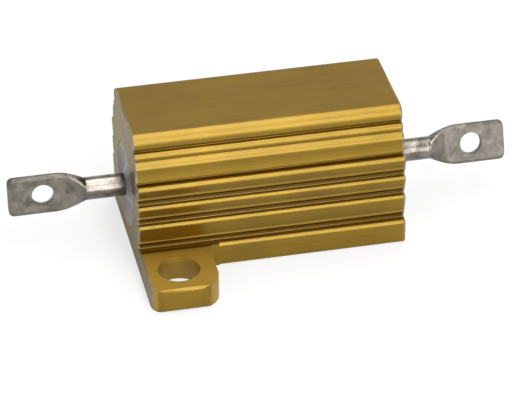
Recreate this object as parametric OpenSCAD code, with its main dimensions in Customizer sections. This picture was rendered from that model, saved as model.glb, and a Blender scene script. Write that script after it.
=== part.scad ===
// Aluminium housed wirewound power resistor with two diagonal mounting lugs and eyed solder terminals.
// X runs along the terminals and Z rises from the mounting face.
// The origin lies on that face, midway between the two lug holes. All sizes are in millimetres.

/* [Housing] */
// Length of the housing between its sawn ends
body_len = 15.24; // [13:0.02:24]
// Width across the foot of the body
body_w = 8.48; // [8.3:0.02:10]
// Height from the mounting face to the flat top
body_h = 8.13; // [7.5:0.01:10]
// Radius along the edges of the foot
foot_r = 0.12; // [0.05:0.01:0.3]
// Width across the plain crown above the ribs
crown_w = 6.02; // [5.6:0.02:6.1]
// Height of the crown above the top rib
crown_h = 1.42; // [1.3:0.01:1.8]
// Radius along the top edges of the crown
crown_r = 0.58; // [0.2:0.01:0.6]

/* [Ribs] */
// Ribs on each flank
rib_count = 4; // [2:1:5]
// Width across the tips of the ribs
rib_w = 8.32; // [8.1:0.02:8.6]
// Width across the hollows between the ribs' tips and lips
hollow_w = 7.84; // [7.7:0.02:7.9]
// Width across the lower lips of the ribs
lip_w = 7.92; // [7.9:0.02:8]
// Width across the face of the narrow top rib
top_rib_w = 7.1; // [7:0.02:7.2]
// Width across the lower lip of the top rib
top_lip_w = 7.28; // [7.2:0.02:7.4]
// How far the top rib's upper side falls towards its tip
top_rib_fall = 0.18; // [0.1:0.01:0.25]
// Depth of the groove under each lip
groove_depth = 0.18; // [0.1:0.01:0.25]
// Height of the groove under each lip
groove_h = 0.42; // [0.35:0.01:0.45]
// Extra height of the lowest rib, over the flange
foot_rise = 0.38; // [0.1:0.01:0.6]
// Height of the bead between the top rib and the crown
bead_h = 0.46; // [0.42:0.01:0.5]
// Width across the bead
bead_w = 6.56; // [6.5:0.02:6.7]

/* [Mounting lugs] */
// Thickness of the lugs and of the foot they run out of
lug_t = 1.42; // [1:0.01:1.9]
// Width across both lugs, tip to tip
lug_span = 16.41; // [15.5:0.01:20]
// Length of a lug along the body
lug_len = 3.92; // [3.6:0.01:6]
// Radius of a lug's corner at the end of the body
lug_end_r = 0.85; // [0.3:0.01:1]
// Radius of a lug's corner towards the middle of the body
lug_inner_r = 1.3; // [0.3:0.01:1.5]
// Radius that the cutter leaves where a lug meets the body
lug_root_r = 0.3; // [0.1:0.01:0.6]
// Radius along the tip edges of a lug
lug_edge_r = 0.22; // [0.05:0.01:0.3]
// Diameter of a lug hole
lug_hole_d = 2.36; // [1.6:0.01:2.6]
// Distance of a lug hole from the sawn end
lug_hole_end = 1.85; // [1.7:0.01:2.3]
// Distance of a lug hole from the lug's tip
lug_hole_tip = 2; // [1.7:0.01:2.3]

/* [Terminals] */
// Diameter of the terminal wire
lead_d = 1.3; // [0.8:0.01:1.5]
// Height of the wire's axis over the mounting face
lead_z = 3.38; // [3:0.01:4]
// How far the left terminal stands out of the housing
left_reach = 6.66; // [5.5:0.01:12]
// How far the right terminal stands out of the housing
right_reach = 6.8; // [5.5:0.01:12]
// Turn of the left blade about the wire, from upright towards the sky
left_turn = 7; // [-45:1:90]
// Turn of the right blade about the wire, from upright towards the sky
right_turn = 18; // [-45:1:90]
// Length of the pressed part of a terminal, neck and blade
pressed_len = 4.4; // [4:0.01:5]
// Length over which the round wire widens to the blade
neck_len = 1.7; // [1:0.01:2]
// Length over which the round wire thins to the blade
thinning_len = 1; // [0.6:0.01:1.6]
// Width of the blade
blade_w = 2.34; // [2:0.01:3]
// Thickness of the blade
blade_t = 0.5; // [0.3:0.01:0.8]
// Radius of the blade's end corners
blade_corner_r = 0.3; // [0.1:0.01:0.5]
// Diameter of the eye in the blade
eye_d = 1.27; // [0.8:0.01:1.4]
// Distance of the eye from the end of the blade
eye_inset = 1.96; // [1.2:0.01:2.2]

/* [Element] */
// Diameter of the bore that holds the element
bore_d = 4.8; // [4:0.02:5.2]
// Diameter of the ceramic core
core_d = 2.6; // [2:0.02:2.9]
// Length of the ceramic core
core_len = 9.6; // [6:0.02:10.4]
// Wall of the end caps
cap_t = 0.25; // [0.15:0.01:0.3]
// How far an end cap reaches over the core
cap_grip = 1.3; // [0.8:0.01:2]
// Radius on the closed edge of an end cap
cap_r = 0.2; // [0.1:0.01:0.25]
// Diameter of the resistance wire
wire_d = 0.2; // [0.1:0.01:0.3]
// Distance between turns of the resistance wire
wire_pitch = 0.5; // [0.4:0.02:1]
// Clearance round the resistance wire
wire_gap = 0.02; // [0.01:0.01:0.04]
// Depth of the silicone below the sawn ends
silicone_recess = 0.3; // [0.1:0.01:0.6]
// Height that the silicone climbs up the terminal
silicone_climb = 0.35; // [0.1:0.01:0.5]

/* [Hidden] */
$fn = 64;

GOLD = [0.66, 0.52, 0.24];
TINNED = [0.66, 0.65, 0.6];
STEEL = [0.7, 0.7, 0.7];
SILICONE = [0.28, 0.27, 0.27];
CERAMIC = [0.92, 0.9, 0.84];
NICKEL_ALLOY = [0.55, 0.53, 0.5];

// Radii of the extruded profile: rib tips, lower lips, floors of the grooves, hollows and bead
TIP_R = 0.2;
TOP_TIP_R = 0.34;
LIP_R = 0.08;
FLOOR_R = 0.06;
HOLLOW_R = 0.2;
TOP_HOLLOW_R = 1.2;
BEAD_R = 0.3;
// Height from a lip up to the hollow, and the top rib's groove and hollow over the rib below
HOLLOW_RISE = 0.14;
TOP_GROOVE_H = 0.15;
TOP_HOLLOW_H = 0.55;
// Largest angle between neighbouring faces of a rounded edge
ARC_STEP = 16;
// How far cutters run past the faces they cut
OVERCUT = 1;
// The pressed part starts a hair inside the round wire, and this far back along it
NECK_STEP = 0.02;
NECK_LAP = 0.1;
// Faces round the resistance wire, and along one of its turns
WIRE_SIDES = 6;
COIL_STEPS = 20;
// Faces round a quarter of the pressed wire, and rings along its neck and its end corners
EDGE_STEPS = 5;
NECK_RINGS = 9;
CORNER_RINGS = 5;

// The ribs share what the foot and the crown leave of the height
rib_pitch = (body_h - crown_h - lug_t - foot_rise) / rib_count;
crown_foot = body_h - crown_h;
bead_top = crown_foot + bead_h;
core_end = core_len / 2;
cap_end = core_end + cap_t;
cap_rim = core_end - cap_grip;
cap_d = core_d + 2 * cap_t;
coil_r = core_d / 2 + wire_gap + wire_d / 2;
coil_outer_r = coil_r + wire_d / 2 + wire_gap;
neck_d = lead_d - 2 * NECK_STEP;

// Smooth rise from 0 to 1 that ends level
function ease(s) = sin(90 * min(max(s, 0), 1));

function unit(v) = v / norm(v);

// Arc that rounds the corner at b between its neighbours a and c
function corner_arc(a, b, c, r) =
    let (
        to_a = unit(a - b),
        to_c = unit(c - b),
        half = acos(to_a * to_c) / 2,
        centre = b + unit(to_a + to_c) * r / sin(half),
        first = b + to_a * r / tan(half) - centre,
        start = atan2(first.y, first.x),
        swing = -sign(cross(to_a, to_c)) * (180 - 2 * half),
        steps = ceil(abs(swing) / ARC_STEP)
    )
    [for (k = [0:steps])
        centre + r * [cos(start + swing * k / steps), sin(start + swing * k / steps)]];

// Outline through corners given as [x, y, radius]
function rounded(corners) =
    let (n = len(corners), at = [for (c = corners) [c.x, c.y]])
    [for (i = [0:n - 1])
        each corners[i].z > 0
            ? corner_arc(at[(i + n - 1) % n], at[i], at[(i + 1) % n], corners[i].z)
            : [at[i]]];

function rib_top(i) = lug_t + foot_rise + rib_pitch * i;

// Full rib from the floor of its groove: a lip that overhangs, a hollow, and the tip
function rib(i) =
    let (floor_z = i == 0 ? lug_t : rib_top(i), lip = lip_w / 2, root = lip - groove_depth)
    [
        [root, floor_z, FLOOR_R],
        [root, floor_z + groove_h / 2, FLOOR_R],
        [lip, floor_z + groove_h, LIP_R],
        [hollow_w / 2, floor_z + groove_h + HOLLOW_RISE, HOLLOW_R],
        [rib_w / 2, rib_top(i + 1), TIP_R]
    ];

// Top rib, drawn in under the crown, with an upright face over a low lip
function top_rib(i) =
    let (lip = top_lip_w / 2, face = top_rib_w / 2)
    [
        [lip - groove_depth, rib_top(i), FLOOR_R / 2],
        [lip, rib_top(i) + TOP_GROOVE_H, LIP_R / 2],
        [face, rib_top(i) + TOP_HOLLOW_H, TOP_HOLLOW_R],
        [face, rib_top(i + 1) - top_rib_fall, TOP_TIP_R]
    ];

// Bead over the top rib, and the crown over its own narrow groove
function crown() =
    let (bead = bead_w / 2, side = crown_w / 2)
    [
        [bead - FLOOR_R, crown_foot, FLOOR_R],
        [bead, bead_top, BEAD_R],
        [side - groove_depth, bead_top, FLOOR_R / 2],
        [side, bead_top + groove_h / 2, LIP_R / 2],
        [side, body_h, crown_r]
    ];

// Right half of the body's section, from the mounting face up to the crown
function flank() =
    let (last = rib_count - 1)
    [
        [body_w / 2, 0, foot_r],
        [body_w / 2, lug_t, lug_edge_r],
        for (i = [0:last - 1]) each rib(i),
        each top_rib(last),
        each crown()
    ];

// The other half is the same outline run backwards
function mirrored(corners) =
    [for (i = [len(corners) - 1:-1:0]) [-corners[i].x, corners[i].y, corners[i].z]];

// Turns a section drawn across and up into a bar along X
module along_x(length) {
    rotate([90, 0, 90]) linear_extrude(length, center = true) children();
}

// Turns a shape made round Z into one round the wire's axis
module on_wire_axis() {
    translate([0, 0, lead_z]) rotate([0, 90, 0]) children();
}

module extrusion() {
    along_x(body_len) polygon(rounded(concat(flank(), mirrored(flank()))));
}

// Plan of the lug at the left end of the front, run into the body by a third of its width
module lug_plan() {
    end_x = -body_len / 2;
    inner_x = end_x + lug_len;
    wall_y = -body_w / 2;
    tip_y = -lug_span / 2;
    inside_y = -body_w / 6;
    polygon(rounded([
        [end_x, tip_y, lug_end_r],
        [inner_x, tip_y, lug_inner_r],
        [inner_x, wall_y, lug_root_r],
        [inner_x + 2 * lug_root_r, wall_y, 0],
        [inner_x + 2 * lug_root_r, inside_y, 0],
        [end_x, inside_y, 0]
    ]));
}

// The flange as it was extruded, before all but the lugs was milled away
module flange() {
    half = lug_span / 2;
    along_x(body_len) polygon(rounded([
        [-half, 0, lug_edge_r],
        [half, 0, lug_edge_r],
        [half, lug_t, lug_edge_r],
        [-half, lug_t, lug_edge_r]
    ]));
}

module lug() {
    intersection() {
        flange();
        linear_extrude(lug_t) lug_plan();
    }
}

module lug_hole() {
    x = body_len / 2 - lug_hole_end;
    y = lug_span / 2 - lug_hole_tip;
    translate([-x, -y, -OVERCUT]) cylinder(d = lug_hole_d, h = lug_t + 2 * OVERCUT);
}

// One at the left of the front and one, turned half round, at the right of the back
module both_corners() {
    for (turn = [0, 180]) rotate([0, 0, turn]) children();
}

module housing() {
    color(GOLD) difference() {
        union() {
            extrusion();
            both_corners() lug();
        }
        both_corners() lug_hole();
        on_wire_axis() cylinder(d = bore_d, h = body_len + 2 * OVERCUT, center = true);
    }
}

// End face of the silicone, which climbs the wire and the bore, as section corners
function meniscus() =
    let (
        inner = lead_d / 2,
        outer = bore_d / 2,
        low = body_len / 2 - silicone_recess,
        steps = 10
    )
    [for (k = [0:steps])
        let (s = k / steps, climb = pow(1 - s, 3) + pow(s, 6) / 3)
        [inner + (outer - inner) * s, low + silicone_climb * climb, 0]];

// Half of the silicone's section, cast round the winding, the cap and the wire
function silicone_half() = concat(
    [[coil_outer_r, 0, 0], [coil_outer_r, cap_rim, 0], [cap_d / 2, cap_rim, 0]],
    [[cap_d / 2, cap_end, cap_r], [lead_d / 2, cap_end, 0]],
    meniscus()
);

module silicone_moulding() {
    half = rounded(silicone_half());
    other_half = [for (i = [len(half) - 1:-1:1]) [half[i].x, -half[i].y]];
    color(SILICONE) on_wire_axis() rotate_extrude() polygon(concat(half, other_half));
}

module ceramic_core() {
    color(CERAMIC) on_wire_axis() cylinder(d = core_d, h = core_len, center = true);
}

// Drawn cup pressed over one end of the core
module end_cap() {
    color(STEEL) on_wire_axis() rotate_extrude() polygon(rounded([
        [0, core_end, 0],
        [core_d / 2, core_end, 0],
        [core_d / 2, cap_rim, 0],
        [cap_d / 2, cap_rim, 0],
        [cap_d / 2, cap_end, cap_r],
        [0, cap_end, 0]
    ]));
}

module end_cap_right() { end_cap(); }
module end_cap_left() { mirror([1, 0, 0]) end_cap(); }

// Solid whose skin joins rings of points, each ring running the same way round
module skin(rings) {
    sides = len(rings[0]);
    last = len(rings) - 1;
    polyhedron(
        points = [for (ring = rings) each ring],
        faces = concat(
            [[for (k = [0:sides - 1]) k]],
            [[for (k = [sides - 1:-1:0]) last * sides + k]],
            [for (i = [0:last - 1]) for (k = [0:sides - 1])
                [i * sides + k, (i + 1) * sides + k, i * sides + (k + 1) % sides]],
            [for (i = [0:last - 1]) for (k = [0:sides - 1])
                [i * sides + (k + 1) % sides, (i + 1) * sides + k, (i + 1) * sides + (k + 1) % sides]]
        )
    );
}

// One point of the winding's axis, at a turn angle and a place along the core
function coil_ring(angle, x) =
    [for (k = [0:WIRE_SIDES - 1])
        let (a = 360 * k / WIRE_SIDES, r = coil_r + wire_d / 2 * cos(a))
        [x + wire_d / 2 * sin(a), r * cos(angle), r * sin(angle)]];

// Wire wound on the core from the rim of one cap to the rim of the other
module resistance_wire() {
    reach = cap_rim - wire_d / 2 - wire_gap;
    turns = floor(2 * reach / wire_pitch);
    rings = turns * COIL_STEPS;
    color(NICKEL_ALLOY) translate([0, 0, lead_z]) skin([
        for (i = [0:rings]) coil_ring(360 * i / COIL_STEPS, reach * (2 * i / rings - 1))
    ]);
}

// Half width of the pressed wire, s along it from the neck
function half_width(s) =
    let (
        straight = (neck_d + (blade_w - neck_d) * ease(s / neck_len)) / 2,
        past = max(0, s - pressed_len + blade_corner_r)
    )
    straight - blade_corner_r + sqrt(pow(blade_corner_r, 2) - pow(past, 2));

// Half thickness of the pressed wire, s along it from the neck
function half_thickness(s) = (neck_d - (neck_d - blade_t) * ease(s / thinning_len)) / 2;

// Section of the pressed wire at x: flat faces with round edges, from a circle to a strip
function pressed_ring(x, s) =
    let (
        y = half_thickness(s),
        z = half_width(s),
        r = min(y, z),
        step = 90 / EDGE_STEPS
    )
    [for (quarter = [0:3]) for (k = [0:EDGE_STEPS - 1])
        let (
            a = 90 * quarter + (k + 0.5) * step,
            side_y = quarter == 0 || quarter == 3 ? y - r : r - y,
            side_z = quarter < 2 ? z - r : r - z
        )
        [x, side_y + r / cos(step / 2) * cos(a), side_z + r / cos(step / 2) * sin(a)]];

// Places along the pressed part: close together in the neck and round the end corners
function pressed_places() = concat(
    [-NECK_LAP],
    [for (k = [0:NECK_RINGS]) neck_len * k / NECK_RINGS],
    [for (a = [0:90 / CORNER_RINGS:90]) pressed_len - blade_corner_r * (1 - sin(a))]
);

// Tinned wire whose outer end is pressed flat, turned about its axis and pierced with an eye
module terminal(reach, turn) {
    tip_x = body_len / 2 + reach;
    neck_x = tip_x - pressed_len;
    color(TINNED) translate([0, 0, lead_z]) rotate([-turn, 0, 0]) {
        translate([cap_end, 0, 0]) rotate([0, 90, 0]) cylinder(d = lead_d, h = neck_x - cap_end);
        difference() {
            skin([for (s = pressed_places()) pressed_ring(neck_x + s, s)]);
            translate([tip_x - eye_inset, 0, 0])
                rotate([90, 0, 0])
                    cylinder(d = eye_d, h = blade_t + 2 * OVERCUT, center = true);
        }
    }
}

module terminal_right() { terminal(right_reach, right_turn); }
module terminal_left() { mirror([1, 0, 0]) terminal(left_reach, left_turn); }

housing();
silicone_moulding();
ceramic_core();
resistance_wire();
end_cap_left();
end_cap_right();
terminal_left();
terminal_right();
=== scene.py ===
# %% [markdown]
# # An aluminium housed power resistor
# The real part is a short piece of ribbed aluminium extrusion, dyed gold when it was anodised.
# A wound ceramic core is cast into its bore with silicone, and a tinned wire leaves each end.
# The pressed and pierced ends of the wires are the eyes that other wires are soldered to.
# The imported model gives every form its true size, so this script starts from those solids.
# It adds what solids lack: broken edges, drawn and sawn surfaces, dye, tin, light and a camera.

# %% Load the fixed frame
import math

import bmesh
import bpy
from mathutils import Matrix, Vector


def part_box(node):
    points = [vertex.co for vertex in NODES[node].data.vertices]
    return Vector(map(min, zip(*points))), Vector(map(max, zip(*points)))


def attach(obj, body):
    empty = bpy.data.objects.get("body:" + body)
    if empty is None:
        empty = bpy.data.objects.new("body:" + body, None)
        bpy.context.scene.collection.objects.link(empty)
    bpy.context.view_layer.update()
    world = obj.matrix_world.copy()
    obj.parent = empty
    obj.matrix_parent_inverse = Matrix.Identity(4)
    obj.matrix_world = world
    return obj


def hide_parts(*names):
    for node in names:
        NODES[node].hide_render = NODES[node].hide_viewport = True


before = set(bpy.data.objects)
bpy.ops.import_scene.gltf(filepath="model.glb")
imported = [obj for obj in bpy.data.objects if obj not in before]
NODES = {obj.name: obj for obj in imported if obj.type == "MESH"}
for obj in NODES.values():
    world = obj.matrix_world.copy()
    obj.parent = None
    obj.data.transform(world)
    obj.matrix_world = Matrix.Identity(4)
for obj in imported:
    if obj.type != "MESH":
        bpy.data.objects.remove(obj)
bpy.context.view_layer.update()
print("nodes:", ", ".join(sorted(NODES)))

# %% Units, colours and places taken from the frame
MM = 0.001


def colour(hex_code):
    """A colour written as six sRGB digits, as the linear RGBA that shaders work in."""
    parts = [int(hex_code[i : i + 2], 16) / 255 for i in (0, 2, 4)]
    linear = [c / 12.92 if c <= 0.04045 else ((c + 0.055) / 1.055) ** 2.4 for c in parts]
    return (*linear, 1.0)


HOUSING_LOW, HOUSING_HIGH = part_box("housing")
HALF_LENGTH = HOUSING_HIGH[0]
print(f"housing {2 * HALF_LENGTH / MM:.2f} mm long, {HOUSING_HIGH[2] / MM:.2f} mm high")

# %% [markdown]
# ## A helper for materials
# Every finish below is a small network of nodes. One function adds a node, sets its properties,
# and fills its inputs with numbers or with another node's output, so that each line reads as
# one step of the finish.


# %% One way to add a node
def add(tree, kind, inputs=(), **settings):
    """Adds a node. inputs maps socket names or numbers to values or to other nodes' outputs."""
    node = tree.nodes.new(kind)
    for name, value in settings.items():
        setattr(node, name, value)
    for key, value in dict(inputs).items():
        if isinstance(value, bpy.types.NodeSocket):
            tree.links.new(value, node.inputs[key])
        else:
            node.inputs[key].default_value = value
    return node


def new_material(name):
    """An empty material with its output, and the object coordinates that patterns hang on."""
    material = bpy.data.materials.new(name)
    material.use_nodes = True
    tree = material.node_tree
    tree.nodes.clear()
    output = add(tree, "ShaderNodeOutputMaterial")
    place = add(tree, "ShaderNodeTexCoord").outputs["Object"]
    return material, tree, output, place


def per_metre(size_mm):
    """How many repeats of a pattern of this size fit in a metre."""
    return 1 / (size_mm * MM)


# %% [markdown]
# ## Gold anodised aluminium
# The bar is extruded, dyed gold in its oxide and sealed, and only then sawn to length.
# Its metal reflects in the colour of the dye, and the clear oxide over it adds a thin white gloss.
# A plain gold colour would look like paint, so the finish is built in steps: the dye, the places
# where painted shade and painted light change it, the bare sawn metal, and last the shader that
# puts them together.
# The press leaves fine straight lines along the bar, so noise is stretched along X.

# %% The dye
DYED_GOLD = "8A6D0A"
DYED_GOLD_DEEP = "7C6106"
DRAWN_LINE_MM = 0.09  # real lines are 0.01 to 0.05 mm, drawn coarser so that they show
DYE_CLOUD_MM = 2.5
LINE_STRETCH = 0.015


def drawn_lines(tree, place):
    """Fine lines along the bar, left by the press."""
    along = add(tree, "ShaderNodeMapping", {"Vector": place, "Scale": (LINE_STRETCH, 1, 1)})
    return add(
        tree,
        "ShaderNodeTexNoise",
        {"Vector": along.outputs[0], "Scale": per_metre(DRAWN_LINE_MM), "Detail": 3},
    ).outputs["Fac"]


def dyed_gold(tree, place, lines):
    """Gold that is a little deeper in some lines and in some soft clouds."""
    cloud = add(
        tree, "ShaderNodeTexNoise", {"Vector": place, "Scale": per_metre(DYE_CLOUD_MM), "Detail": 3}
    ).outputs["Fac"]
    shade = add(tree, "ShaderNodeMath", {0: lines, 1: cloud}, operation="ADD").outputs[0]
    depth = add(
        tree, "ShaderNodeMapRange", {"Value": shade, "From Min": 0.75, "From Max": 1.25}
    ).outputs["Result"]
    return add(
        tree,
        "ShaderNodeMix",
        {0: depth, 6: colour(DYED_GOLD_DEEP), 7: colour(DYED_GOLD)},
        data_type="RGBA",
    ).outputs[2]


print("lines every", DRAWN_LINE_MM, "mm, clouds of", DYE_CLOUD_MM, "mm")

# %% [markdown]
# ### Where light and shade are painted
# The floors of the narrow grooves are painted a deeper gold. This is painted shade for the shadow
# that falls in them.
# Tumbling leaves the lugs dull, all but their rubbed tips, and their tops are painted a paler gold.
# This is painted light for the lamp light they catch.
# Both places are found from the distance to the middle plane. Painting them on a map would need
# unwrapping, and these masks follow the part.

# %% Masks for grooves and lugs
GROOVE_ROOT_MM = 3.76  # half the width across the floors of the grooves
RIB_FOOT_MM = 4.02  # the hollows and lips between it and the root are part dark
RIBS_MIDDLE_MM = 3.2  # the ribbed band lies this high, and reaches this far up and down
RIBS_HALF_MM = 2.2
FLANGE_MM = 4.24  # half the width of the foot: the lugs past it are tumbled dull
LUG_EDGE_FROM_MM = 7.95  # the tips of the lugs are rubbed bright again from here on


def painted_groove_shade(tree, height, out):
    """One where painted shade darkens the grooves: in their floors, falling to zero at the tips of
    the ribs.
    """
    inner = add(
        tree,
        "ShaderNodeMapRange",
        {"Value": out, 1: GROOVE_ROOT_MM * MM, 2: RIB_FOOT_MM * MM, 3: 1.0, 4: 0.0},
    ).outputs["Result"]
    ribbed = add(
        tree,
        "ShaderNodeMath",
        {0: height, 1: RIBS_MIDDLE_MM * MM, 2: RIBS_HALF_MM * MM},
        operation="COMPARE",
    ).outputs[0]
    return add(tree, "ShaderNodeMath", {0: inner, 1: ribbed}, operation="MULTIPLY").outputs[0]


def tumbled_and_lit_lugs(tree, out):
    """One on the lugs, which are tumbled dull and painted paler for the light on them; zero on the
    body and on the lugs' tips.
    """
    past_foot = add(
        tree,
        "ShaderNodeMapRange",
        {"Value": out, 1: (FLANGE_MM + 0.03) * MM, 2: (FLANGE_MM + 0.15) * MM},
    ).outputs["Result"]
    at_tip = add(
        tree,
        "ShaderNodeMapRange",
        {"Value": out, 1: LUG_EDGE_FROM_MM * MM, 2: (LUG_EDGE_FROM_MM + 0.1) * MM},
    ).outputs["Result"]
    return add(tree, "ShaderNodeMath", {0: past_foot, 1: at_tip}, operation="SUBTRACT").outputs[0]


print("ribs from", RIBS_MIDDLE_MM - RIBS_HALF_MM, "to", RIBS_MIDDLE_MM + RIBS_HALF_MM, "mm")

# %% [markdown]
# ### Bare sawn metal
# The ends are sawn after dyeing, so they are bare, with marks that run across. A mask on the
# distance from the middle finds them. A little noise in the mask makes its border ragged, as
# where a burr was taken off the corner.

# %% Sawn ends
BARE_ALUMINIUM = "A2967E"
BARE_ALUMINIUM_DULL = "867B66"
SAW_MARK_MM = 0.12
ETCH_MM = 0.05
SAWN_EDGE_MM = 0.11  # width of bare metal where the end's corner was deburred
RAGGED_MM = 0.06
BORDER_MM = 0.015


def saw_marks(tree, place):
    """Marks of the saw across the end faces."""
    across = add(tree, "ShaderNodeMapping", {"Vector": place, "Scale": (0.1, 0.08, 1)})
    return add(
        tree,
        "ShaderNodeTexNoise",
        {"Vector": across.outputs[0], "Scale": per_metre(SAW_MARK_MM), "Detail": 2},
    ).outputs["Fac"]


def bare_metal(tree, saw):
    """Grey metal, duller in the deeper marks."""
    dull = add(
        tree, "ShaderNodeMapRange", {"Value": saw, "From Min": 0.35, "From Max": 0.65}
    ).outputs["Result"]
    return add(
        tree,
        "ShaderNodeMix",
        {0: dull, 6: colour(BARE_ALUMINIUM_DULL), 7: colour(BARE_ALUMINIUM)},
        data_type="RGBA",
    ).outputs[2]


def sawn_ends(tree, along, etch):
    """One on the end faces and on the bare metal round them, with a ragged border."""
    reach = add(tree, "ShaderNodeMath", {0: along}, operation="ABSOLUTE").outputs[0]
    ragged = add(
        tree, "ShaderNodeMath", {0: etch, 1: RAGGED_MM * MM, 2: reach}, operation="MULTIPLY_ADD"
    ).outputs[0]
    edge = HALF_LENGTH - (SAWN_EDGE_MM - RAGGED_MM / 2) * MM
    return add(
        tree,
        "ShaderNodeMapRange",
        {"Value": ragged, "From Min": edge - BORDER_MM * MM, "From Max": edge + BORDER_MM * MM},
    ).outputs["Result"]


print("bare metal from", round(HALF_LENGTH / MM - SAWN_EDGE_MM, 2), "mm outwards")

# %% [markdown]
# ### The finish, put together
# One network serves two materials. They differ only in the tint at grazing angles: oxide keeps
# some of its dye's colour there, and bare metal turns almost white. The tint sits on the shader's
# own socket, which is why the end faces get a material of their own and not one more mask.

# %% The anodised finish
# painted shade: a deeper gold for the grooves' floors, standing in for the shadow that falls in
# them
GROOVE_SHADE_GOLD = "664F09"
# painted light: a paler gold for the lugs' tops, standing in for the lamp light they catch; their
# real dullness is in the roughness
LUG_LIT_GOLD = "AA8B38"
GRAZED_OXIDE = "CFB98A"
GRAZED_METAL = "D0CABC"
TUMBLED_ROUGHER = 0.28
OXIDE_COAT = 0.55


def anodised_colour(tree, place, lines, height, out, tumbled_and_lit):
    """The dye, deepened by painted shade in the grooves and made paler by painted light on the
    lugs.
    """
    # painted shade in the grooves and painted light on the lugs are mixed into the dye here
    groove_shade = painted_groove_shade(tree, height, out)
    dyed = dyed_gold(tree, place, lines)
    ribs = add(
        tree,
        "ShaderNodeMix",
        {0: groove_shade, 6: dyed, 7: colour(GROOVE_SHADE_GOLD)},
        data_type="RGBA",
    ).outputs[2]
    return add(
        tree, "ShaderNodeMix", {0: tumbled_and_lit, 6: ribs, 7: colour(LUG_LIT_GOLD)}, data_type="RGBA"
    ).outputs[2]


def anodised_relief(tree, marks, etch):
    """The lines or saw marks, and a finer etched grain over them."""
    drawn = add(
        tree, "ShaderNodeBump", {"Height": marks, "Strength": 0.12, "Distance": 0.02 * MM}
    )
    return add(
        tree,
        "ShaderNodeBump",
        {"Height": etch, "Strength": 0.1, "Distance": 0.01 * MM, "Normal": drawn.outputs[0]},
    ).outputs[0]


def anodised_roughness(tree, marks, sawn, tumbled_and_lit):
    """Satin, following the marks, and rougher on the lugs, which tumbling left dull."""
    satin = add(
        tree,
        "ShaderNodeMapRange",
        {"Value": marks, "From Min": 0.3, "From Max": 0.7, "To Min": 0.34, "To Max": 0.42},
    ).outputs["Result"]
    matt = add(tree, "ShaderNodeMix", {0: sawn, 2: tumbled_and_lit, 3: 0.0}, data_type="FLOAT").outputs[0]
    return add(
        tree,
        "ShaderNodeMath",
        {0: matt, 1: TUMBLED_ROUGHER, 2: satin},
        operation="MULTIPLY_ADD",
    ).outputs[0]


def anodised_extrusion(name, grazing_tint):
    """Gold metal under clear oxide, with bare sawn ends: satin, lined along the bar."""
    material, tree, output, place = new_material(name)
    axes = add(tree, "ShaderNodeSeparateXYZ", {0: place}).outputs
    out = add(tree, "ShaderNodeMath", {0: axes["Y"]}, operation="ABSOLUTE").outputs[0]
    etch = add(
        tree, "ShaderNodeTexNoise", {"Vector": place, "Scale": per_metre(ETCH_MM), "Detail": 2}
    ).outputs["Fac"]
    lines = drawn_lines(tree, place)
    saw = saw_marks(tree, place)
    sawn = sawn_ends(tree, axes["X"], etch)
    tumbled_and_lit = tumbled_and_lit_lugs(tree, out)

    gold = anodised_colour(tree, place, lines, axes["Z"], out, tumbled_and_lit)
    bare = bare_metal(tree, saw)
    skin = add(tree, "ShaderNodeMix", {0: sawn, 6: gold, 7: bare}, data_type="RGBA").outputs[2]
    marks = add(tree, "ShaderNodeMix", {0: sawn, 2: lines, 3: saw}, data_type="FLOAT").outputs[0]
    oxide = add(
        tree, "ShaderNodeMapRange", {"Value": sawn, "To Min": OXIDE_COAT, "To Max": 0.0}
    ).outputs["Result"]
    metal = add(
        tree,
        "ShaderNodeBsdfPrincipled",
        {
            "Base Color": skin,
            "Metallic": 1,
            "Roughness": anodised_roughness(tree, marks, sawn, tumbled_and_lit),
            "Specular Tint": colour(grazing_tint),
            "Normal": anodised_relief(tree, marks, etch),
            "Coat Weight": oxide,
            "Coat Roughness": 0.3,
        },
    )
    tree.links.new(metal.outputs[0], output.inputs["Surface"])
    return material


GOLD = anodised_extrusion("gold_anodised_extrusion", GRAZED_OXIDE)
SAWN_END = anodised_extrusion("sawn_extrusion_end", GRAZED_METAL)
print("made", GOLD.name, "and", SAWN_END.name)

# %% [markdown]
# ## Tinned wire
# The wire is dipped in tin and its ends are pressed in a die. The surface is a soft grey metal:
# clean where the die rubbed it, dull and mottled where the tin froze. Noise of half a
# millimetre gives the mottling, and finer noise stretched along the wire gives the rub marks.
# The die scrapes the neck, where the round wire turns into a flat blade, so coarser marks are
# kept to a mask there. All of it is shallow, so bump gives it and no point needs to move.

# %% Relief of the tin
TIN_GRAIN_MM = 0.6
RUB_MARK_MM = 0.12
DIE_MARK_MM = 0.3  # drawn coarse enough to show: real ones are 0.05 to 0.1 mm
PRESSED_FROM_MM = 9.9  # the die starts this far from the middle of the part
PRESSED_BY_MM = 10.9


def frozen_grain(tree, place):
    """Soft patches, a little swirled, left by freezing tin."""
    return add(
        tree,
        "ShaderNodeTexNoise",
        {"Vector": place, "Scale": per_metre(TIN_GRAIN_MM), "Detail": 4, "Distortion": 0.4},
    ).outputs["Fac"]


def pressed_part(tree, place):
    """Zero on the round wire, rising over the neck to one on the blade."""
    x = add(tree, "ShaderNodeSeparateXYZ", {0: place}).outputs["X"]
    reach = add(tree, "ShaderNodeMath", {0: x}, operation="ABSOLUTE").outputs[0]
    return add(
        tree,
        "ShaderNodeMapRange",
        {"Value": reach, "From Min": PRESSED_FROM_MM * MM, "From Max": PRESSED_BY_MM * MM},
    ).outputs["Result"]


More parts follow.
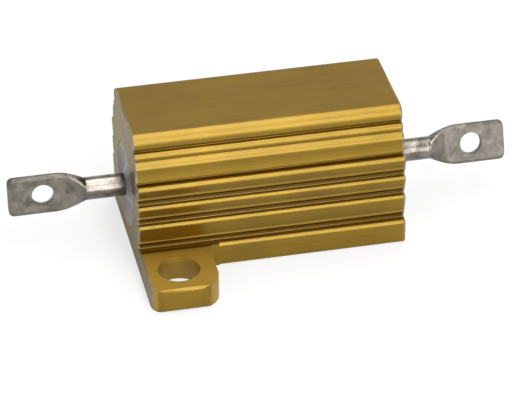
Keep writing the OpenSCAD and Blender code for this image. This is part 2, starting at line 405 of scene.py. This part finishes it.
def die_scars(tree, place, pressed):
    """Coarse marks on the neck alone."""
    scraped = add(tree, "ShaderNodeMapping", {"Vector": place, "Scale": (0.35, 1, 1)})
    die = add(
        tree,
        "ShaderNodeTexNoise",
        {"Vector": scraped.outputs[0], "Scale": per_metre(DIE_MARK_MM), "Detail": 2},
    ).outputs["Fac"]
    neck = add(tree, "ShaderNodeMath", {0: 1.0, 1: pressed}, operation="SUBTRACT").outputs[0]
    pinch = add(tree, "ShaderNodeMath", {0: neck, 1: pressed}, operation="MULTIPLY").outputs[0]
    return add(tree, "ShaderNodeMath", {0: pinch, 1: die}, operation="MULTIPLY").outputs[0]


def tin_relief(tree, place, grain, pressed):
    """Frozen patches, die scars and rub marks, one over another."""
    along = add(tree, "ShaderNodeMapping", {"Vector": place, "Scale": (0.15, 1, 1)})
    rubbed = add(
        tree,
        "ShaderNodeTexNoise",
        {"Vector": along.outputs[0], "Scale": per_metre(RUB_MARK_MM), "Detail": 2},
    ).outputs["Fac"]
    scar = die_scars(tree, place, pressed)
    frozen = add(
        tree, "ShaderNodeBump", {"Height": grain, "Strength": 0.3, "Distance": 0.04 * MM}
    )
    scarred = add(
        tree,
        "ShaderNodeBump",
        {"Height": scar, "Strength": 0.8, "Distance": 0.5 * MM, "Normal": frozen.outputs[0]},
    )
    return add(
        tree,
        "ShaderNodeBump",
        {"Height": rubbed, "Strength": 0.12, "Distance": 0.02 * MM, "Normal": scarred.outputs[0]},
    ).outputs[0]


print("pressed from", PRESSED_FROM_MM, "mm, flat by", PRESSED_BY_MM, "mm")

# %% Tin frozen on pressed wire
TIN = "857F76"
TIN_DULL = "605D57"
PRESSED_ROUGHER = 0.26


def tinned_wire():
    """Soft grey metal, mottled and rubbed: shiny on the wire, duller on the pressed blade."""
    material, tree, output, place = new_material("tinned_wire")
    grain = frozen_grain(tree, place)
    pressed = pressed_part(tree, place)
    mottle = add(
        tree, "ShaderNodeMapRange", {"Value": grain, "From Min": 0.35, "From Max": 0.65}
    ).outputs["Result"]
    tin = add(
        tree,
        "ShaderNodeMix",
        {0: mottle, 6: colour(TIN_DULL), 7: colour(TIN)},
        data_type="RGBA",
    ).outputs[2]
    gloss = add(
        tree,
        "ShaderNodeMapRange",
        {"Value": grain, "From Min": 0.3, "From Max": 0.7, "To Min": 0.18, "To Max": 0.26},
    ).outputs["Result"]
    dulled = add(
        tree,
        "ShaderNodeMath",
        {0: pressed, 1: PRESSED_ROUGHER, 2: gloss},
        operation="MULTIPLY_ADD",
    ).outputs[0]
    metal = add(
        tree,
        "ShaderNodeBsdfPrincipled",
        {
            "Base Color": tin,
            "Metallic": 1,
            "Roughness": dulled,
            "Normal": tin_relief(tree, place, grain, pressed),
        },
    )
    tree.links.new(metal.outputs[0], output.inputs["Surface"])
    return material


TINNED = tinned_wire()
print("made", TINNED.name)

# %% [markdown]
# ## Cast silicone
# Dark grey silicone is poured into the bore round the element and cures with a smooth skin.
# It is a soft dielectric, so it isn't metallic: a dark body with a clear gloss, slightly uneven
# where dust and filler lie under the skin.

# %% Silicone with a cured skin
SILICONE_GREY = "6A6566"
SILICONE_DUSTY = "7E7877"
FILLER_MM = 0.35


def cast_silicone():
    """Dark grey dielectric with a soft gloss."""
    material, tree, output, place = new_material("cast_silicone")
    filler = add(
        tree, "ShaderNodeTexNoise", {"Vector": place, "Scale": per_metre(FILLER_MM), "Detail": 4}
    ).outputs["Fac"]
    dust = add(
        tree, "ShaderNodeMapRange", {"Value": filler, "From Min": 0.35, "From Max": 0.7}
    ).outputs["Result"]
    grey = add(
        tree,
        "ShaderNodeMix",
        {0: dust, 6: colour(SILICONE_GREY), 7: colour(SILICONE_DUSTY)},
        data_type="RGBA",
    ).outputs[2]
    skin = add(
        tree, "ShaderNodeBump", {"Height": filler, "Strength": 0.3, "Distance": 0.05 * MM}
    )
    gloss = add(
        tree,
        "ShaderNodeMapRange",
        {"Value": filler, "From Min": 0.3, "From Max": 0.7, "To Min": 0.25, "To Max": 0.4},
    ).outputs["Result"]
    rubber = add(
        tree,
        "ShaderNodeBsdfPrincipled",
        {"Base Color": grey, "Roughness": gloss, "IOR": 1.43, "Normal": skin.outputs[0]},
    )
    tree.links.new(rubber.outputs[0], output.inputs["Surface"])
    return material


SILICONE = cast_silicone()
print("made", SILICONE.name)

# %% [markdown]
# ## Parts sealed inside
# The ceramic core, the two steel caps and the resistance wire are hidden in the casting, yet each
# has its own finish, so that the model can be opened up. Fired ceramic is white, matt and
# slightly grainy. The caps are drawn from sheet, so they show faint lines along their axis. The
# alloy wire is oxidised to a brownish grey.

# %% Fired ceramic
CERAMIC_WHITE = "EFEADC"
CERAMIC_CREAM = "E0D9C6"
FIRED_GRAIN_MM = 0.15


def fired_ceramic():
    """Matt white with a fine sandy grain."""
    material, tree, output, place = new_material("fired_ceramic")
    grain = add(
        tree,
        "ShaderNodeTexNoise",
        {"Vector": place, "Scale": per_metre(FIRED_GRAIN_MM), "Detail": 3},
    ).outputs["Fac"]
    body = add(
        tree,
        "ShaderNodeMix",
        {0: grain, 6: colour(CERAMIC_CREAM), 7: colour(CERAMIC_WHITE)},
        data_type="RGBA",
    ).outputs[2]
    sandy = add(
        tree, "ShaderNodeBump", {"Height": grain, "Strength": 0.3, "Distance": 0.01 * MM}
    )
    shader = add(
        tree,
        "ShaderNodeBsdfPrincipled",
        {"Base Color": body, "Roughness": 0.7, "Normal": sandy.outputs[0]},
    )
    tree.links.new(shader.outputs[0], output.inputs["Surface"])
    return material


CERAMIC = fired_ceramic()
print("made", CERAMIC.name)


# %% Drawn steel of the caps
CAP_STEEL_LIGHT = "B9B9B6"
CAP_STEEL_DARK = "9C9C9A"
DRAW_LINE_MM = 0.08


def drawn_steel():
    """Clean metal with faint lines along the axis, left by the drawing die."""
    material, tree, output, place = new_material("drawn_steel")
    along = add(tree, "ShaderNodeMapping", {"Vector": place, "Scale": (0.05, 1, 1)})
    lines = add(
        tree,
        "ShaderNodeTexNoise",
        {"Vector": along.outputs[0], "Scale": per_metre(DRAW_LINE_MM), "Detail": 2},
    ).outputs["Fac"]
    steel = add(
        tree,
        "ShaderNodeMix",
        {0: lines, 6: colour(CAP_STEEL_DARK), 7: colour(CAP_STEEL_LIGHT)},
        data_type="RGBA",
    ).outputs[2]
    grooved = add(
        tree, "ShaderNodeBump", {"Height": lines, "Strength": 0.15, "Distance": 0.01 * MM}
    )
    shader = add(
        tree,
        "ShaderNodeBsdfPrincipled",
        {"Base Color": steel, "Metallic": 1, "Roughness": 0.3, "Normal": grooved.outputs[0]},
    )
    tree.links.new(shader.outputs[0], output.inputs["Surface"])
    return material


CAP_STEEL = drawn_steel()
print("made", CAP_STEEL.name)


# %% Oxidised resistance alloy
ALLOY_CLEAN = "9A938A"
ALLOY_OXIDE = "7C6E60"
OXIDE_PATCH_MM = 0.4


def resistance_alloy():
    """Drawn alloy wire with brownish patches of oxide."""
    material, tree, output, place = new_material("oxidised_resistance_alloy")
    patch = add(
        tree,
        "ShaderNodeTexNoise",
        {"Vector": place, "Scale": per_metre(OXIDE_PATCH_MM), "Detail": 3},
    ).outputs["Fac"]
    alloy = add(
        tree,
        "ShaderNodeMix",
        {0: patch, 6: colour(ALLOY_OXIDE), 7: colour(ALLOY_CLEAN)},
        data_type="RGBA",
    ).outputs[2]
    gloss = add(
        tree,
        "ShaderNodeMapRange",
        {"Value": patch, "From Min": 0.3, "From Max": 0.7, "To Min": 0.45, "To Max": 0.28},
    ).outputs["Result"]
    shader = add(
        tree, "ShaderNodeBsdfPrincipled", {"Base Color": alloy, "Metallic": 1, "Roughness": gloss}
    )
    tree.links.new(shader.outputs[0], output.inputs["Surface"])
    return material


ALLOY = resistance_alloy()
print("made", ALLOY.name)

# %% Give every solid its finish
FINISHES = {
    "housing": GOLD,
    "silicone_moulding": SILICONE,
    "ceramic_core": CERAMIC,
    "resistance_wire": ALLOY,
    "end_cap_left": CAP_STEEL,
    "end_cap_right": CAP_STEEL,
    "terminal_left": TINNED,
    "terminal_right": TINNED,
}
for name, node in NODES.items():
    node.data.materials.clear()
    node.data.materials.append(FINISHES[name])
print("finishes on", len(NODES), "solids")

# %% [markdown]
# ## Broken edges
# No real edge is perfectly sharp: tumbling and deburring leave a narrow round that catches the
# light. A solid's mesh arrives as loose triangles, so a copy is welded and its flat faces are
# made whole again. Then the edges are broken in two ways. The sawn ends have a very detailed
# outline, so rings are cut just behind each end and drawn in a little, which rounds every rib at
# once. Holes and lugs have long plain edges, which the bevel operator rounds.

# %% Weld a copy of a solid
SHARP = math.radians(32)
FLAT = math.radians(0.3)
SAME_POINT_MM = 0.0005


def angle_of(edge):
    """The turn between an edge's two faces, or zero where it hasn't two."""
    return edge.calc_face_angle(0.0) if len(edge.link_faces) == 2 else 0.0


def welded_copy(node_name):
    """A bmesh of a solid with its doubles merged and its flat faces made whole."""
    bm = bmesh.new()
    bm.from_mesh(NODES[node_name].data)
    bmesh.ops.remove_doubles(bm, verts=bm.verts, dist=SAME_POINT_MM * MM)
    flat = [
        edge
        for edge in bm.edges
        if angle_of(edge) < FLAT
        and max(abs(face.normal.x) for face in edge.link_faces) < 0.99
    ]
    bmesh.ops.dissolve_limit(bm, angle_limit=FLAT, verts=bm.verts, edges=flat)
    return bm


def break_edges(bm, edges, width_mm):
    """Rounds the given edges with the bevel operator."""
    bmesh.ops.bevel(
        bm,
        geom=edges,
        offset=width_mm * MM,
        offset_type="OFFSET",
        affect="EDGES",
        segments=2,
        profile=0.5,
        material=-1,
        clamp_overlap=True,
    )


def finish_piece(bm, node_name, piece_name):
    """Turns a bmesh into a smooth-shaded piece that stands for a solid."""
    for face in bm.faces:
        face.smooth = True
    for edge in bm.edges:
        edge.smooth = angle_of(edge) < SHARP
    mesh = bpy.data.meshes.new(piece_name)
    bm.to_mesh(mesh)
    bm.free()
    mesh.materials.append(FINISHES[node_name])
    piece = bpy.data.objects.new(piece_name, mesh)
    bpy.context.scene.collection.objects.link(piece)
    normals = piece.modifiers.new("flat_faces_stay_flat", "WEIGHTED_NORMAL")
    normals.keep_sharp = True
    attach(piece, "root")
    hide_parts(node_name)
    print(f"{piece_name}: {len(mesh.polygons)} faces")
    return piece


# %% [markdown]
# ## The ribbed housing
# The real housing is one extruded bar, cut to length and milled at the lugs. A bevel on its end
# outlines would trip over the tiny steps of the ribs. So two rings are cut close behind each end
# with bisect_plane and drawn in, which leaves the same soft corner on every rib. The flat end
# faces then take the bare metal, which is the second material on the mesh.

# %% Round the ends of the housing
END_ROUND_DEPTH_MM = 0.12
END_ROUND_IN_MM = 0.045


def round_sawn_ends(bm):
    """Cuts rings behind both sawn ends and draws them in, so that the ends are rounded."""
    rings = [(0.0, 1.0), (0.3, 0.3), (1.0, 0.0)]
    for side in (-1, 1):
        for back, _ in rings[1:]:
            x = side * (HALF_LENGTH - back * END_ROUND_DEPTH_MM * MM)
            bmesh.ops.bisect_plane(
                bm,
                geom=bm.verts[:] + bm.edges[:] + bm.faces[:],
                plane_co=(x, 0, 0),
                plane_no=(1, 0, 0),
                dist=0.0001 * MM,
            )
    moves = {}
    for vert in bm.verts:
        back = (HALF_LENGTH - abs(vert.co.x)) / (END_ROUND_DEPTH_MM * MM)
        draw = sum(share for place, share in rings if abs(back - place) < 0.02)
        if draw:
            sides = [face for face in vert.link_faces if abs(face.normal.x) < 0.5]
            out = sum((face.normal for face in sides), Vector())
            out.x = 0.0
            if out.length > 0:
                moves[vert] = out.normalized() * (draw * END_ROUND_IN_MM * MM)
    for vert, move in moves.items():
        vert.co -= move
    bm.normal_update()


print("ends rounded over", END_ROUND_DEPTH_MM, "mm")

# %% Break the edges of the lugs and make the housing
LUG_EDGE_MM = 0.06
FACES_THE_END = 0.7  # the least part of a face's normal that runs along X


def lug_and_hole_edges(bm):
    """Long sharp edges away from the sawn ends: hole rims and the cut outline of the lugs."""
    return [
        edge
        for edge in bm.edges
        if angle_of(edge) > math.radians(50)
        and edge.calc_length() > 0.08 * MM
        and max(abs(v.co.x) for v in edge.verts) < HALF_LENGTH - 0.2 * MM
        and min(abs(v.co.y) for v in edge.verts) > 4.3 * MM
    ]


housing_mesh = welded_copy("housing")
break_edges(housing_mesh, lug_and_hole_edges(housing_mesh), LUG_EDGE_MM)
round_sawn_ends(housing_mesh)
for face in housing_mesh.faces:
    face.material_index = 1 if abs(face.normal.x) > FACES_THE_END else 0
housing = finish_piece(housing_mesh, "housing", "ribbed_housing")
housing.data.materials.append(SAWN_END)

# %% [markdown]
# ## Terminals
# A press flattens each wire's end and punches its eye, so the blade's rims are sheared, with a
# burr that is only just rubbed off. The bevel is kept to the blade: on the ring where the round
# wire meets the neck it would spoil the smooth shading of the wire.

# %% Terminals with softened rims
BLADE_EDGE_MM = 0.03

for side in ("left", "right"):
    blade = welded_copy(f"terminal_{side}")
    rims = [
        edge
        for edge in blade.edges
        if angle_of(edge) > math.radians(50)
        and min(abs(vert.co.x) for vert in edge.verts) > PRESSED_BY_MM * MM
    ]
    break_edges(blade, rims, BLADE_EDGE_MM)
    finish_piece(blade, f"terminal_{side}", f"{side}_eye_terminal")

# %% [markdown]
# ## Silicone in the bore
# Liquid silicone wets metal, so it creeps up the wall of the bore before it cures and leaves a
# shallow dish. A displacement texture could fake it, but moving the skin's own points by their
# distance from the wall gives the true form, and the mesh keeps its points.

# %% Silicone that wets the bore
BORE_R_MM = 2.4
WETTED_MM = 0.7  # the silicone starts to rise this far from the wall
RIM_GAP_MM = 0.04


def wet_the_bore(bm):
    """Lifts the silicone's skin along the wall of the bore, almost to its rim."""
    low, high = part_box("silicone_moulding")
    axis_z = (low[2] + high[2]) / 2
    rim = HALF_LENGTH - RIM_GAP_MM * MM
    for vert in bm.verts:
        near_wall = BORE_R_MM * MM - math.hypot(vert.co.y, vert.co.z - axis_z)
        rise = max(0.0, 1 - near_wall / (WETTED_MM * MM)) ** 2
        if abs(vert.co.x) > HALF_LENGTH - 0.5 * MM:
            side = math.copysign(1, vert.co.x)
            vert.co.x += side * rise * max(0.0, rim - abs(vert.co.x))
    bm.normal_update()


plug = welded_copy("silicone_moulding")
wet_the_bore(plug)
finish_piece(plug, "silicone_moulding", "silicone_plug")

# %% [markdown]
# ## Floor
# The part stands on white card. A brighter lamp would whiten the card but bleach the part too, so
# the card adds some plain white to what the camera and reflections see of it. It keeps a share
# of real card, and with it the soft shadow.

# %% White floor
FLOOR_SIZE = 3.0
FLOOR_GAP_MM = 0.01  # a hair of room, so that the underside and the card don't share a plane
FLOOR_SEEN_WHITE = 0.65
FLOOR_MIRRORED_WHITE = 0.25
CARD_WHITE = 0.82


def white_card():
    """Diffuse card with a share of plain white, for camera and glossy rays only."""
    material, tree, output, _ = new_material("white_card")
    card = add(tree, "ShaderNodeBsdfDiffuse", {"Color": (CARD_WHITE, CARD_WHITE, CARD_WHITE, 1.0)})
    white = add(tree, "ShaderNodeEmission", {"Color": (1, 1, 1, 1), "Strength": 1.0})
    ray = add(tree, "ShaderNodeLightPath")
    seen = add(
        tree,
        "ShaderNodeMath",
        {0: ray.outputs["Is Camera Ray"], 1: FLOOR_SEEN_WHITE},
        operation="MULTIPLY",
    )
    share = add(
        tree,
        "ShaderNodeMath",
        {0: ray.outputs["Is Glossy Ray"], 1: FLOOR_MIRRORED_WHITE, 2: seen.outputs[0]},
        operation="MULTIPLY_ADD",
    )
    mixed = add(
        tree,
        "ShaderNodeMixShader",
        {0: share.outputs[0], 1: card.outputs[0], 2: white.outputs[0]},
    )
    tree.links.new(mixed.outputs[0], output.inputs["Surface"])
    return material


def white_floor():
    """One wide sheet of card just under the part."""
    bm = bmesh.new()
    lowered = Matrix.Translation((0, 0, -FLOOR_GAP_MM * MM))
    bmesh.ops.create_grid(bm, x_segments=1, y_segments=1, size=FLOOR_SIZE / 2, matrix=lowered)
    mesh = bpy.data.meshes.new("floor")
    bm.to_mesh(mesh)
    bm.free()
    mesh.materials.append(white_card())
    floor = bpy.data.objects.new("floor", mesh)
    bpy.context.scene.collection.objects.link(floor)


white_floor()
print("floor", FLOOR_SIZE, "m wide")

# %% [markdown]
# ## Surroundings
# Metal shows what is round it, so an even white world would make it look flat. The walls are
# bright and the ceiling is dimmer, and the lamps then stand out as clear highlights.

# %% World
HORIZON = 0.95
ZENITH = 0.5
CEILING_FROM = 0.6  # upward part of the direction where the ceiling starts to dim
CEILING_BY = 0.9


def studio_world():
    """Bright walls all round and a dimmer ceiling, so that the lamps do the modelling."""
    world = bpy.data.worlds.new("studio")
    world.use_nodes = True
    tree = world.node_tree
    tree.nodes.clear()
    direction = add(tree, "ShaderNodeTexCoord").outputs["Generated"]
    height = add(tree, "ShaderNodeSeparateXYZ", {0: direction}).outputs["Z"]
    strength = add(
        tree,
        "ShaderNodeMapRange",
        {"Value": height, 1: CEILING_FROM, 2: CEILING_BY, 3: HORIZON, 4: ZENITH},
    ).outputs["Result"]
    light = add(tree, "ShaderNodeBackground", {"Color": (1, 1, 1, 1), "Strength": strength})
    output = add(tree, "ShaderNodeOutputWorld")
    tree.links.new(light.outputs[0], output.inputs["Surface"])
    bpy.context.scene.world = world


studio_world()
print("world from", HORIZON, "at the horizon to", ZENITH, "overhead")

# %% [markdown]
# ## Lamps
# A ribbed bar is best shown by long soft lamps along it: each rounded tip then carries one even
# line of light. One strip hangs over the part and lights the crown and the upper sides of the
# ribs, and one stands in front and lights their faces.


# %% Two strips
def soft_lamp(name, place, tilt_deg, width, depth, radiance):
    """A soft box that faces down, tipped about X: its sizes run along X and, untipped, Y."""
    lamp = bpy.data.lights.new(name, "AREA")
    lamp.shape = "RECTANGLE"
    lamp.size = width
    lamp.size_y = depth
    lamp.energy = radiance * math.pi * width * depth
    holder = bpy.data.objects.new(name, lamp)
    holder.location = place
    holder.rotation_euler = (math.radians(tilt_deg), 0, 0)
    bpy.context.scene.collection.objects.link(holder)


soft_lamp("overhead_strip", (0.0335, -0.03, 0.25), 0, 0.062, 0.36, 6.6)
soft_lamp("front_strip", (0.045, -0.30, 0.13), 68, 0.09, 0.27, 6.0)

# %% [markdown]
# ## Camera
# A long lens from well back keeps the ribs almost parallel, as in catalogue pictures. The camera
# is placed by its direction from the point it aims at, so that one angle can change at a time.

# %% Camera
AZIMUTH = math.radians(-12.02)
ELEVATION = math.radians(32.96)
ROLL = math.radians(-0.355)
AIM = Vector((-0.141, -1.276, 2.035)) * MM
DISTANCE = 173.2 * MM
SENSOR_MM = 36.0
LENS_MM = 211.94


def place_camera():
    """A camera at its distance from the aim, level but for a slight roll."""
    back = Vector(
        (
            math.sin(AZIMUTH) * math.cos(ELEVATION),
            -math.cos(AZIMUTH) * math.cos(ELEVATION),
            math.sin(ELEVATION),
        )
    )
    lens = bpy.data.cameras.new("catalogue_camera")
    lens.sensor_width = SENSOR_MM
    lens.lens = LENS_MM
    lens.clip_start = 0.01
    camera = bpy.data.objects.new("catalogue_camera", lens)
    camera.location = AIM + back * DISTANCE
    level = (-back).to_track_quat("-Z", "Y").to_matrix().to_4x4()
    camera.rotation_euler = (level @ Matrix.Rotation(ROLL, 4, "Z")).to_euler()
    bpy.context.scene.collection.objects.link(camera)
    bpy.context.scene.camera = camera


place_camera()
bpy.context.scene.view_settings.view_transform = "Standard"
print("camera", DISTANCE, "m from its aim")
